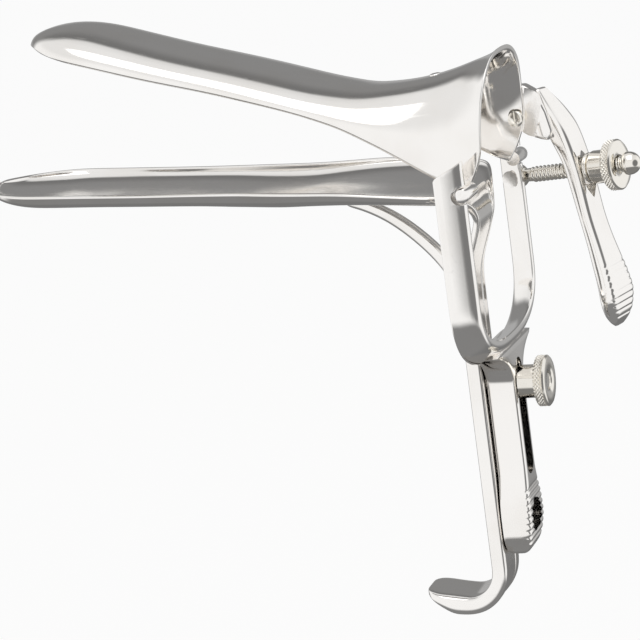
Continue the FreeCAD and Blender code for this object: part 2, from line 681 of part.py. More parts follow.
# Thumb grooves across the pad.
for i in range(9):
    z = -27.4 - pitch * i
    x = smooth_rows([(-p[1], p[0]) for p in back_curve], [-z])[0][1]
    drawing = sketch(lever, "thumb_groove_%d" % i, "XZ_Plane", loop([
        (x - groove * 0.8, z), (x + 0.8, z + groove + 0.1), (x + 0.8, z - groove - 0.1)]), shift=-1.2)
    pocket(lever, "thumb_groove_cut_%d" % i, drawing, 2 * thumb_half + 1.0)
doc.recompute()
strip_shape = lever.Shape.copy()
strip_shape.Placement = side_place.multiply(lever.Placement)
root = new_body("lever_root")
drawing = sketch(root, "root_side", "XZ_Plane", loop([
    (3.4, 10.4), (5.6, 7.6), (8.4, 7.0), (11.4, 4.8), (14.6, 3.6), (16.6, 3.2), (17.4, 5.5), (16.4, 10.0),
    (14.8, 14.6), (11.6, 16.8), (6.0, 16.2)]), shift=-(collar_half + 1.7))
pad(root, "root_plate", drawing, 4.2)
hull_shape = collar_hull.copy()
hull_shape.Placement = upper_place
lever_shape = strip_shape.fuse(root.Shape).cut(hull_shape)
lever_shape = lever_shape.cut(upper.Shape)
pieces = sorted(lever_shape.Solids, key=lambda s: -s.Volume)
lever_part = solid("thumb_lever_fitted", pieces[0])

# Screw through the root plate and the collar wall, head inside the collar.
screw_x = size("screw_x")
screw_z = size("screw_z")
screw_r = size("screw_radius")
screw = lathe("lever_screw", [
    (0, 0), (0, size("screw_head_radius")), (size("screw_head_thick"), size("screw_head_radius")),
    (size("screw_head_thick"), screw_r), (4.6, screw_r), (4.6, 0)], (screw_x, 16.2, screw_z), (0, 1, 0))

doc.recompute()

# Cuts that the fasteners need in the sheet pieces.
screw_hole = Part.makeCylinder(screw_r, 20, Vector(screw_x, 10, screw_z), Vector(0, 1, 0))
head_room = Part.makeCylinder(size("screw_head_radius"), size("screw_head_thick"),
                              Vector(screw_x, 16.2, screw_z), Vector(0, 1, 0))
placed_upper = upper.Shape.copy()
fitted_upper = placed_upper.cut(screw_hole).cut(head_room)
upper.Placement = Placement()
upper.Shape = fitted_upper
lever_part.Shape = lever_part.Shape.cut(screw_hole)

ridge_centre = upper_place.multVec(Vector(-16.6, 0, 18.5))
ridge_axis = tilt.multVec(Vector(-0.45, 0, 1.0))
ridge_axis.normalize()
ridge = solid("ridge_rivet", Part.makeCylinder(1.4, 3.2, ridge_centre - ridge_axis * 1.6, ridge_axis))
upper.Shape = upper.Shape.cut(ridge.Shape)

nodes = {
    "upper_blade": upper,
    "thumb_lever": lever_part,
    "lever_screw": screw,
    "ridge_rivet": ridge,
    "lower_blade": lower,
    "clamp_stud": stud,
    "clamp_nut": clamp_nut,
    "yoke": yoke_part,
    "rod_pin": rod_pin,
    "lever_rod": rod,
    "rod_cap": rod_cap,
    "lever_nut": lever_nut,
}
doc.recompute()
# The shared frame has its origin at the centre of the round hole in the finger pad.
origin = Vector(-size("frame_x"), 0, -size("pad_hole_z"))
for item in nodes.values():
    item.Placement = Placement(origin, Rotation()).multiply(item.Placement)
doc.recompute()
for item in doc.Objects:
    if "Invalid" in item.State or "Error" in item.State:
        raise RuntimeError("feature not built: " + item.Name)
for name, item in nodes.items():
    shape = item.Shape
    if shape.isNull() or not shape.isValid() or not shape.Solids:
        raise RuntimeError("bad solid: " + name)
    print(name, len(shape.Solids), round(shape.Volume, 1), shape.BoundBox)
    shape.exportStep("parts/" + name + ".step")
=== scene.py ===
import math

import bmesh
import bpy
from mathutils import Matrix, Vector


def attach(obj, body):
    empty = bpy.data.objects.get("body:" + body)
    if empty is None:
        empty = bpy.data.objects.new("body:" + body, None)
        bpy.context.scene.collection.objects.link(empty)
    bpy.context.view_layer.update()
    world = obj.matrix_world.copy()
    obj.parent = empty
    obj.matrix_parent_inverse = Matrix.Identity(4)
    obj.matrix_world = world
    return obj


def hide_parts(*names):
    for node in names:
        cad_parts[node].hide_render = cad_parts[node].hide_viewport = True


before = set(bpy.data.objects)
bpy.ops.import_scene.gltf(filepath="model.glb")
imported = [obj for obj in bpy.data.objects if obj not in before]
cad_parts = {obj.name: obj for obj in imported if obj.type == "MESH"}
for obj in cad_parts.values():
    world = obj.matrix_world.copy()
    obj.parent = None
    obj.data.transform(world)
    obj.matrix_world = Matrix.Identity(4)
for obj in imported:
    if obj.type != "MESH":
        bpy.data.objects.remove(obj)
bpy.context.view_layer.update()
scene = bpy.context.scene
scene.view_settings.view_transform = "Standard"

# The sizes are the part's own, in millimetres and degrees. Z is zero at the lower blade's rim near the
# yoke, and the frame's origin is the centre of the finger hole.
MM = 0.001
FRAME_X = 5.0
HOLE_Z = -81.6
HINGE = Vector((7.4, 0.0, -0.3))
OPEN_ANGLE = math.radians(17.0)
WALL = 1.5
NOSE_REACH = 17.6
UPPER_LEN = 115.6
UPPER_HALF = 17.6
COLLAR_HALF = 19.0
COLLAR_TOP = 30.4
COLLAR_FLARE = 2.6
EAR_RADIUS = 2.1
EAR_REACH = 26.2
EAR_PLAY = 0.45
LOWER_LEN = 117.6
LOWER_HALF = 18.4
LOWER_SLOPE = math.tan(math.radians(3.5))
LOWER_CROWN = -3.1
LOWER_RIM = 3.4
LOWER_FLARE = 5.1
BEND = 32.0
STEM_FRONT = -3.0
STEM_THICK = 3.8
STEM_HALF = 6.6
STEM_LOW = -93.5
FOOT_RADIUS = 6.5
FOOT_THICK = 4.5
FOOT_TIP = -20.2
ARM_SPAN = 25.5
ARM_TOP = 7.6
ARM_BEND = -25.0
FORK_LOW = -40.0
ARM_FRONT = 1.75
ARM_DEPTH = 6.2
ARM_WALL = 2.6
ARM_TOE = math.radians(28.7)
SHANK_FRONT = 0.9
SHANK_BACK = 8.0
SHANK_HALF = 4.5
SHANK_LOW = -91.0
PAD_HALF = 6.5
PAD_TOP = -73.0
PAD_HOLE = 4.0
SLOT_HALF = 2.7
SLOT_TOP = -43.5
SLOT_LOW = -71.5
GROOVE_PITCH = 1.55
GROOVE_DEPTH = 0.36
GROOVES = 9
THUMB_GROOVE = 0.55
STUD_Z = -49.4
STUD_RADIUS = 2.0
STUD_END = 14.6
SIDE_PIVOT = Vector((5.4, 27.3, 0.0))
SIDE_YAW = math.radians(-13.0)
ROD_Z = -6.05
ROD_RISE = math.radians(4.2)
ROD_RADIUS = 1.9
ROD_LEN = 28.8
ROD_CLEAR = 0.6
THREAD_PITCH = 1.05
THREAD_DEPTH = 0.42
THREAD_END = 0.25
NUT_RADIUS = 6.0
NUT_THICK = 2.6
HUB_RADIUS = 3.9
HUB_LEN = 4.3
NUT_FROM = 19.05
NUT_NOSE = 1.5
NOSE_RADIUS = 3.6
LEVER_HALF = 4.55
THUMB_HALF = 6.1
LEVER_SLOT = 2.5
SCREW_X = 9.6
SCREW_Z = 9.2


def ease(share):
    share = min(max(share, 0.0), 1.0)
    return share * share * (3.0 - 2.0 * share)


def spread(low, high, count):
    return [low + (high - low) * i / (count - 1) for i in range(count)]


def flow(rows, key):
    """The rows' columns at a key, on smooth curves that don't overshoot."""
    i = 0
    while i < len(rows) - 2 and key > rows[i + 1][0]:
        i += 1
    span = rows[i + 1][0] - rows[i][0]
    share = min(max((key - rows[i][0]) / span, 0.0), 1.0)
    out = []
    for column in range(1, len(rows[0])):
        slopes = []
        for k in (i, i + 1):
            first, last = max(k - 1, 0), min(k + 1, len(rows) - 1)
            before = (rows[k][column] - rows[first][column]) / max(rows[k][0] - rows[first][0], 1e-9)
            after = (rows[last][column] - rows[k][column]) / max(rows[last][0] - rows[k][0], 1e-9)
            if k in (0, len(rows) - 1):
                slopes.append(before + after)
            else:
                slopes.append(2 * before * after / (before + after) if before * after > 0 else 0.0)
        s2, s3 = share * share, share ** 3
        out.append((2 * s3 - 3 * s2 + 1) * rows[i][column] + (s3 - 2 * s2 + share) * span * slopes[0]
                   + (3 * s2 - 2 * s3) * rows[i + 1][column] + (s3 - s2) * span * slopes[1])
    return out


def drawn(point):
    """A drawing point in the frame, in metres."""
    return Vector((point[0] - FRAME_X, point[1], point[2] - HOLE_Z)) * MM


def in_upper(point):
    """A point of the upper blade's level drawing, tilted open about the hinge."""
    x, y, z = point
    c, s = math.cos(OPEN_ANGLE), math.sin(OPEN_ANGLE)
    return HINGE + Vector((x * c + z * s, y, z * c - x * s))


def in_side(point):
    """A point of the linkage's own frame, turned toward the middle about the rod's pivot."""
    x, y, z = point
    c, s = math.cos(SIDE_YAW), math.sin(SIDE_YAW)
    return SIDE_PIVOT + Vector((x * c - y * s, x * s + y * c, z))


def on_rod(point):
    """A point with X along the rod."""
    x, y, z = point
    c, s = math.cos(ROD_RISE), math.sin(ROD_RISE)
    return in_side((x * c - z * s, y, x * s + z * c + ROD_Z))


def plain(point):
    return Vector(point)


# Making of meshes.
def tube(rings, place=plain, caps="fan"):
    """A closed skin through rings of points, in drawing millimetres."""
    mesh = bmesh.new()
    rows = [[mesh.verts.new(drawn(place(p))) for p in ring] for ring in rings]
    count = len(rows[0])
    for first, second in zip(rows, rows[1:]):
        for i in range(count):
            j = (i + 1) % count
            mesh.faces.new((first[i], first[j], second[j], second[i]))
    if caps == "fan":
        mesh.faces.new(rows[0][::-1])
        mesh.faces.new(rows[-1])
    elif caps == "strip":
        half = count // 2
        for row in (rows[0], rows[-1]):
            for i in range(half - 1):
                corners = (row[i], row[i + 1], row[count - 2 - i], row[count - 1 - i])
                mesh.faces.new(corners if row is rows[-1] else corners[::-1])
    elif caps == "loop":
        for i in range(count):
            j = (i + 1) % count
            mesh.faces.new((rows[-1][i], rows[-1][j], rows[0][j], rows[0][i]))
    bmesh.ops.recalc_face_normals(mesh, faces=mesh.faces)
    return mesh


def lathed(profile, place, segments=48, knurl=None, closed=False):
    """A turned shape from (distance along the axis, radius) points, its rim knurled if asked."""
    rings = []
    for along, radius in profile:
        ring = []
        for i in range(segments):
            angle = 2 * math.pi * i / segments
            wide = radius + (knurl(along, angle, radius) if knurl else 0.0)
            ring.append((along, wide * math.cos(angle), wide * math.sin(angle)))
        rings.append(ring)
    return tube(rings, place, caps="loop" if closed else "fan")


def as_object(name, mesh, material=None):
    data = bpy.data.meshes.new(name)
    mesh.to_mesh(data)
    mesh.free()
    piece = bpy.data.objects.new(name, data)
    bpy.context.collection.objects.link(piece)
    if material:
        data.materials.append(material)
    return piece


def settle(piece):
    """Turn the piece's modifiers into plain mesh."""
    shown = piece.evaluated_get(bpy.context.evaluated_depsgraph_get())
    data = bpy.data.meshes.new_from_object(shown)
    piece.modifiers.clear()
    old, piece.data = piece.data, data
    bpy.data.meshes.remove(old)


def carve(piece, tool, how="DIFFERENCE"):
    step = piece.modifiers.new("carve", "BOOLEAN")
    step.operation = how
    step.solver = "EXACT"
    step.object = tool
    settle(piece)
    bpy.data.objects.remove(tool)


def round_off(piece, levels):
    step = piece.modifiers.new("round", "SUBSURF")
    step.levels = step.render_levels = levels
    settle(piece)


def ease_edges(piece, width, limit=35.0, segments=3):
    step = piece.modifiers.new("edges", "BEVEL")
    step.width = width * MM
    step.segments = segments
    step.limit_method = "ANGLE"
    step.angle_limit = math.radians(limit)
    step.use_clamp_overlap = True
    settle(piece)


def prism(outline, low, high, axis, place=plain):
    """A straight block over an outline: axis "x" takes (y, z) points and "y" takes (x, z) points."""
    rings = []
    for level in (low, high):
        if axis == "x":
            rings.append([(level, p[0], p[1]) for p in outline])
        else:
            rings.append([(p[0], level, p[1]) for p in outline])
    return as_object("tool", tube(rings, place))


def finish(piece, material, body, node, angle=38.0):
    piece.data.materials.clear()
    piece.data.materials.append(material)
    piece.data.polygons.foreach_set("use_smooth", [True] * len(piece.data.polygons))
    piece.data.set_sharp_from_angle(angle=math.radians(angle))
    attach(piece, body)
    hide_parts(node)
    return piece


# Blade sections.
def arch_ring(origin, outward, half, depth, wall, power, flare=0.0, rim_push=0.5, half_in=None, depth_in=None,
              count=26):
    """A thin arch with rounded rims: outer points, then the inner ones back again."""
    half_in = half - wall if half_in is None else half_in
    depth_in = depth - wall if depth_in is None else depth_in
    outer, inner = [], []
    for i in range(count + 1):
        angle = math.pi * i / count
        side = math.copysign(abs(math.cos(angle)) ** (2.0 / power), math.cos(angle))
        rise = math.sin(angle) ** (2.0 / power) if i not in (0, count) else 0.0
        wide = flare * ease((rise * depth - 4.0) / 10.0)
        outer.append((side * (half + wide), rise * depth))
        inner.append((side * (half_in + wide), rise * depth_in))
    far_rim = ((outer[-1][0] + inner[-1][0]) / 2, 0.0)
    near_rim = ((outer[0][0] + inner[0][0]) / 2, 0.0)
    lift = min(rim_push * (half - half_in) * 0.8, 0.3 * depth_in)
    for row in (outer, inner):
        row[0] = (row[0][0], lift)
        row[-1] = (row[-1][0], lift)
    ring = outer + [far_rim] + inner[::-1] + [near_rim]
    return [(origin[0] + outward[0] * p[1], p[0], origin[1] + outward[1] * p[1]) for p in ring]


def nose_half(half, back, reach):
    share = min(max(back / reach, 0.0), 1.0)
    return half * math.sqrt(1.0 - (1.0 - share) ** 2)


UPPER_TIP = [(0.0, 1.5), (1.0, 2.4), (2.6, 3.6), (5.0, 4.9), (8.5, 6.0), (12.5, 6.6), (17.0, 6.8)]
# Distance from the hinge, height of the rim, half width, depth, squareness and flare.
UPPER_ROWS = [
    (-UPPER_LEN + 17.0, 7.3, UPPER_HALF, 6.8, 2.4, 0.0),
    (-82.8, 7.2, UPPER_HALF, 6.3, 2.6, 0.0),
    (-62.8, 7.6, UPPER_HALF, 5.9, 2.6, 0.0),
    (-46.8, 7.4, UPPER_HALF, 5.9, 2.5, 0.0),
    (-34.8, 6.5, UPPER_HALF, 7.3, 2.4, 0.0),
    (-24.8, 4.5, UPPER_HALF + 0.3, 11.9, 2.3, 0.0),
    (-15.8, 2.2, COLLAR_HALF - 0.6, 18.1, 2.25, 0.0),
    (-8.8, 0.4, COLLAR_HALF, 24.2, 2.25, 0.0),
    (-4.3, -0.6, COLLAR_HALF, 28.4, 2.6, 0.15 * COLLAR_FLARE),
    (-1.0, -0.9, COLLAR_HALF, COLLAR_TOP + 2.2, 2.9, 0.35 * COLLAR_FLARE),
    (4.2, -1.0, COLLAR_HALF, COLLAR_TOP + 6.4, 3.0, 0.5 * COLLAR_FLARE),
]
# The mouth seen from the side: height and distance from the hinge.
MOUTH = [(-4.0, -1.6), (-1.0, -0.8), (0.0, 0.0), (2.0, 1.2), (4.35, 1.84), (8.0, 1.3), (11.55, 0.5),
         (15.5, -0.4), (19.65, -1.3), (24.0, -1.95), (28.5, -2.9), (COLLAR_TOP + 8.0, -4.5)]


def upper_ring(x, grow=0.0):
    rim_z, half, depth, power, flare = flow(UPPER_ROWS, x)
    return arch_ring((x, rim_z - grow), (0.0, 1.0), half + grow, depth + 2 * grow, WALL, power, flare)


def collar_rings(start, grow=0.0, count=11):
    """Rings from a station to the mouth, each point stopping at the mouth's own profile."""
    size = len(upper_ring(start))
    ends = []
    for i in range(size):
        low, high = start, 4.2
        for _ in range(24):
            middle = (low + high) / 2
            if middle < flow(MOUTH, upper_ring(middle, grow)[i][2])[0]:
                low = middle
            else:
                high = middle
        ends.append(low)
    rings = []
    for step in range(count):
        share = step / (count - 1)
        share = 1 - (1 - share) ** 1.5
        rings.append([upper_ring(start + (end - start) * share, grow)[i] for i, end in enumerate(ends)])
    return rings


def make_upper_blade():
    rings = []
    for back in (0.04, 0.3, 0.9, 1.8, 3.0, 4.6, 6.6, 9.0, 12.0, 15.0):
        depth = flow(UPPER_TIP, back)[0]
        inside = nose_half(UPPER_HALF - WALL, back - WALL, NOSE_REACH - WALL)
        sink = ease(back / (2 * WALL))
        half = nose_half(UPPER_HALF, back, NOSE_REACH)
        rings.append(arch_ring((-UPPER_LEN + back, 7.3), (0.0, 1.0), half, depth, WALL, 2.4,
                               half_in=max(inside, 0.02), depth_in=0.05 + (depth - WALL) * sink,
                               rim_push=0.5 * sink))
    rings += [upper_ring(x) for x in spread(-UPPER_LEN + 18.0, -44.0, 12)]
    rings += [upper_ring(x) for x in spread(-40.0, -12.5, 10)]
    rings += collar_rings(-10.5)
    blade = as_object("upper_blade_sheet", tube(rings, in_upper, caps="strip"))
    round_off(blade, 2)
    # Ears that hinge in the yoke's arms.
    for side in (-1, 1):
        root = COLLAR_HALF - WALL + 0.6
        radius = EAR_RADIUS - EAR_PLAY
        profile = [(root, 0.02), (root, radius), (EAR_REACH - 0.7, radius),
                   (EAR_REACH - 0.2, radius - 0.2), (EAR_REACH, radius - 0.7), (EAR_REACH, 0.02)]
        ear = as_object("tool", lathed([(side * a, r) for a, r in profile],
                                       lambda p: in_upper((p[1], p[0], p[2])), 40))
        join(blade, ear)
    return finish(blade, steel, "top", "upper_blade")


def join(piece, other):
    """Put the other object's mesh into the piece."""
    mesh = bmesh.new()
    mesh.from_mesh(piece.data)
    mesh.from_mesh(other.data)
    mesh.to_mesh(piece.data)
    mesh.free()
    bpy.data.objects.remove(other)


# The lower blade: distance ahead of the hinge, height of the rim, depth and half width.
TROUGH_ROWS = [
    (86.0, LOWER_RIM + 1.85, 5.0, LOWER_HALF), (72.0, LOWER_RIM + 1.0, 5.05, LOWER_HALF),
    (60.0, LOWER_RIM + 0.4, 5.25, LOWER_HALF), (48.0, LOWER_RIM - 0.2, 5.75, LOWER_HALF + 0.2),
    (40.0, LOWER_RIM - 0.7, 5.8, LOWER_HALF + 1.2), (32.0, LOWER_RIM - 1.0, 5.5, LOWER_HALF + 2.8),
    (25.0, LOWER_RIM - 1.2, 5.4, LOWER_HALF + 4.1), (17.0, LOWER_RIM - 1.9, 5.0, LOWER_HALF + 4.9),
    (10.0, LOWER_RIM - 2.7, 4.7, LOWER_HALF + LOWER_FLARE),
    (2.0, LOWER_RIM - 3.6, 4.4, LOWER_HALF + LOWER_FLARE),
]
# The turn down into the stem: angle, half width, depth and squareness.
TURN_ROWS = [
    (0.0, 6.8, 1.65, 7.0), (15.0, 7.6, 1.9, 6.0), (30.0, 9.2, 2.4, 4.5), (45.0, 12.5, 3.0, 3.4),
    (60.0, 17.5, 3.6, 2.8), (75.0, 22.0, 4.2, 2.5), (90.0, LOWER_HALF + LOWER_FLARE, 4.4, 2.4),
]
TURN_CENTRE = Vector((-2.0, 0.0, -9.9))
TURN_RADIUS = 5.3
# Where the stem thickens from the sheet to the full bar: height, back and front.
STEM_BACK = STEM_FRONT + STEM_THICK
STEM_TOP = [(-13.0, 4.0, 2.3), (-16.0, 2.9, 0.9), (-19.5, 1.5, -0.8), (-23.0, STEM_BACK, -1.9),
            (-27.0, STEM_BACK, -2.6), (-31.0, STEM_BACK, STEM_FRONT), (-35.0, STEM_BACK, STEM_FRONT)]
LOWER_TIP = [(0.0, 1.5), (1.0, 2.1), (2.6, 2.9), (5.0, 3.7), (8.5, 4.4), (12.5, 4.9), (17.0, 5.1),
             (31.6, 5.0)]
# The brace under the bend: place along X, height of its middle and thickness.
BRACE = [(-28.5, -4.0, 2.0), (-25.0, -5.0, 2.2), (-21.5, -6.5, 2.4), (-18.0, -8.5, 2.5), (-14.2, -11.4, 2.6),
         (-10.2, -15.2, 2.7), (-6.6, -19.4, 2.8), (-3.6, -24.4, 2.9), (-1.9, -30.5, 3.0)]
BRACE_END = (-1.5, -34.0, 3.0)
BRACE_HALF = 1.9


def make_lower_blade():
    """The trough, its turn down into the stem, the stem with its hook foot, and the brace."""
    rings = []
    for back in (0.34, 0.6, 1.1, 1.9, 3.0, 4.6, 6.6, 9.0, 12.0, 15.0, 18.0, 22.0, 27.0):
        depth = flow(LOWER_TIP, back)[0]
        rim = LOWER_RIM + 1.85 + (LOWER_LEN - back - 86.0) * LOWER_SLOPE
        inside = nose_half(LOWER_HALF - WALL, back - WALL, NOSE_REACH - WALL)
        sink = ease(back / (2 * WALL))
        half = nose_half(LOWER_HALF, back, NOSE_REACH)
        rings.append(arch_ring((-LOWER_LEN + back, rim), (0.0, -1.0), half, depth, WALL, 2.4,
                               half_in=max(inside, 0.02), depth_in=0.05 + (depth - WALL) * sink,
                               rim_push=0.5 * sink))
    for x in spread(86.0, 4.0, 20):
        rim, depth, half = flow([(-r[0], r[1], r[2], r[3]) for r in TROUGH_ROWS], -x)
        rings.append(arch_ring((-x, rim), (0.0, -1.0), half, depth, WALL, 2.4))
    for angle in spread(90.0, 0.0, 11):
        half, depth, power = flow(TURN_ROWS, angle)
        out = Vector((math.cos(math.radians(angle)), 0.0, math.sin(math.radians(angle))))
        rim = TURN_CENTRE + out * (TURN_RADIUS + depth)
        rings.append(arch_ring((rim.x, rim.z), (-out.x, -out.z), half, depth, WALL, power,
                               rim_push=0.5 * ease((angle - 22.0) / 30.0)))
    rings += [bar_ring((back, z), (front, z), STEM_HALF) for z, back, front in STEM_TOP]
    rings += stem_rings(LOWER_CROWN - BEND)
    blade = as_object("lower_blade_and_stem", tube(rings, caps="strip"))
    round_off(blade, 2)
    join(blade, make_brace())
    return finish(blade, steel, "bottom", "lower_blade")


def make_brace():
    """A narrow bar from the trough's underside down to the stem."""
    rings = []
    for (x, z, thick), (next_x, next_z, _) in zip(BRACE, BRACE[1:] + [BRACE_END]):
        run = math.hypot(next_x - x, next_z - z)
        over = (-(next_z - z) / run * thick / 2, (next_x - x) / run * thick / 2)
        rings.append(bar_ring((x + over[0], z + over[1]), (x - over[0], z - over[1]), BRACE_HALF, 5.0))
    brace = as_object("tool", tube(rings, caps="strip"))
    round_off(brace, 2)
    return brace


def bar_ring(back, front, half, power=7.0):
    """A solid bar's section as an arch whose hollow is closed."""
    depth = math.dist(back, front)
    outward = ((front[0] - back[0]) / depth, (front[1] - back[1]) / depth)
    return arch_ring(back, outward, half, depth, depth - 0.15, power, half_in=max(half - depth, 0.3),
                     rim_push=0.0)


def stem_rings(top):
    """The stem down to the hook foot, whose toe thins and rounds off."""
    rings = []
    for z in spread(top - 4.0, STEM_LOW + 2.0, 9):
        rings.append(bar_ring((STEM_FRONT + STEM_THICK, z), (STEM_FRONT, z), STEM_HALF))
    bend_x = STEM_FRONT - FOOT_RADIUS
    for turn in spread(0.0, 90.0, 9):
        c, s = math.cos(math.radians(turn)), math.sin(math.radians(turn))
        back = (bend_x + (FOOT_RADIUS + STEM_THICK) * c, STEM_LOW - (FOOT_RADIUS + FOOT_THICK) * s)
        rings.append(bar_ring(back, (bend_x + FOOT_RADIUS * c, STEM_LOW - FOOT_RADIUS * s), STEM_HALF))
    low = STEM_LOW - FOOT_RADIUS - FOOT_THICK
    high = STEM_LOW - FOOT_RADIUS
    toe = [(0.0, low, high), (3.2, low + 0.1, high + 0.4), (7.0, low + 2.3, high + 0.95),
           (bend_x - FOOT_TIP - 0.4, low + 4.5, high + 1.45), (bend_x - FOOT_TIP, low + 4.9, high + 1.4)]
    last = bend_x - FOOT_TIP
    for reach in (1.6, 3.2, 4.8, 6.2, 7.4, 8.4, 9.2, 9.9, 10.35, last - 0.05):
        under, over = flow(toe, reach)
        left = last - reach
        half = STEM_HALF - 4.6 * (1 - math.sqrt(max(1 - max(1 - left / 4.6, 0.0) ** 2, 0.0)))
        rings.append(bar_ring((bend_x - reach, under), (bend_x - reach, max(over, under + 0.3)), half))
    return rings


# Yoke: the fork's two arms are one bent strip, toed in toward the operator.
def arm_point(share, depth_share, side_share):
    """A point of the arms' strip: along the fork, from front to back, and from inside to outside."""
    arm = ARM_TOP - ARM_BEND
    bend = 48.0
    length = 2 * arm + bend
    run = share * length
    if run < arm:
        centre, normal = (-ARM_SPAN, ARM_TOP - run), (-1.0, 0.0)
    elif run > arm + bend:
        centre, normal = (ARM_SPAN, ARM_BEND + run - arm - bend), (1.0, 0.0)
    else:
        turn = math.pi * (1 + (run - arm) / bend)
        c, s = math.cos(turn), math.sin(turn)
        drop = ARM_BEND - FORK_LOW
        centre = (math.copysign(abs(c) ** 0.78, c) * ARM_SPAN, ARM_BEND - drop * abs(s) ** 0.78)
        steep = (c * abs(c) ** 0.56 / ARM_SPAN, s * abs(s) ** 0.56 / drop)
        size = math.hypot(*steep)
        normal = (steep[0] / size, steep[1] / size)
    toe = math.tan(ARM_TOE) * ARM_DEPTH * (0.5 - depth_share)
    out = toe + side_share * ARM_WALL / 2 / math.cos(ARM_TOE)
    return (ARM_FRONT + ARM_DEPTH * depth_share, centre[0] + normal[0] * out, centre[1] + normal[1] * out)


ARM_TOPS = [(ARM_FRONT - 1.0, -6.0), (ARM_FRONT + 0.6, -3.2), (ARM_FRONT + 2.6, -2.1),
            (ARM_FRONT + 4.6, -1.9), (ARM_FRONT + ARM_DEPTH, -0.1)]
# Round the strip's section: depth share and side share.
ARM_SECTION = [(0.03, -0.72), (0.0, 0.0), (0.03, 0.72), (0.12, 1.0), (0.5, 1.0), (0.88, 1.0), (0.97, 0.72),
               (1.0, 0.0), (0.97, -0.72), (0.88, -1.0), (0.5, -1.0), (0.12, -1.0)]


def make_yoke():
    rings = []
    rows = [0.0, 0.004, 0.02] + spread(0.06, 0.26, 5) + spread(0.285, 0.715, 37) + spread(0.74, 0.94, 5) \
        + [0.98, 0.996, 1.0]
    for share in rows:
        ring = []
        near_top = max(0.0, 1.0 - min(share, 1.0 - share) / 0.06)
        for d, s in ARM_SECTION:
            x, y, z = arm_point(share, d, s)
            ring.append((x, y, z + near_top * flow(ARM_TOPS, x)[0]))
        rings.append(ring)
    yoke = as_object("yoke_fork", tube(rings))
    round_off(yoke, 1)
    shank = as_object("tool", tube(shank_rings()))
    round_off(shank, 1)
    carve(yoke, shank, "UNION")
    turns = spread(0.0, math.pi, 15)
    slot = [(SLOT_HALF * math.cos(a), SLOT_TOP - SLOT_HALF + SLOT_HALF * math.sin(a)) for a in turns] \
        + [(-SLOT_HALF * math.cos(a), SLOT_LOW + SLOT_HALF - SLOT_HALF * math.sin(a)) for a in turns]
    carve(yoke, prism(slot, -4.0, 14.0, "x"))
    hole = [(PAD_HOLE * math.cos(a), HOLE_Z + PAD_HOLE * math.sin(a))
            for a in spread(0.0, 2 * math.pi, 65)[:-1]]
    carve(yoke, prism(hole, -4.0, 14.0, "x"))
    seat = [(HINGE.x + (EAR_RADIUS + 0.06) * math.cos(a), HINGE.z + (EAR_RADIUS + 0.06) * math.sin(a))
            for a in spread(0.0, 2 * math.pi, 41)[:-1]]
    carve(yoke, prism(seat, -34.0, 34.0, "y"))
    # Boss and seat for the rod's eye on the far arm.
    boss = as_object("tool", lathed([(-3.9, 0.02), (-3.9, 2.0), (-1.3, 2.0), (-1.3, 0.02)], across_pivot, 40))
    carve(yoke, boss, "UNION")
    eye = as_object("tool", lathed([(-1.3, 0.02), (-1.3, 3.5), (10.7, 3.5), (10.7, 0.02)], across_pivot, 48))
    carve(yoke, eye)
    room = ROD_RADIUS + ROD_CLEAR
    way = as_object("tool", lathed([(2.1, 0.02), (2.1, room), (15.0, room), (15.0, 0.02)], on_rod, 40))
    carve(yoke, way)
    return finish(yoke, steel, "handle", "yoke", angle=32.0)


def across_pivot(point):
    """A point with its first number along the rod's pivot pin."""
    return in_side((point[1], point[0], point[2] + ROD_Z))


def groove_cut(z, first):
    """Depth of the V grooves at a height, for grooves that step down from the first."""
    nearest = min(range(GROOVES), key=lambda i: abs(z - (first - GROOVE_PITCH * i)))
    off = abs(z - (first - GROOVE_PITCH * nearest))
    return GROOVE_DEPTH * max(0.0, 1.0 - off / (GROOVE_DEPTH + 0.1))


def groove_heights(first):
    """Heights of the slices that catch each groove's two edges and its bottom."""
    edge = GROOVE_DEPTH + 0.1
    heights = []
    for i in range(GROOVES):
        z = first - GROOVE_PITCH * i
        heights += [z + edge + 0.08, z + edge - 0.06, z + 0.06, z - 0.06, z - edge + 0.06, z - edge - 0.08]
    return heights


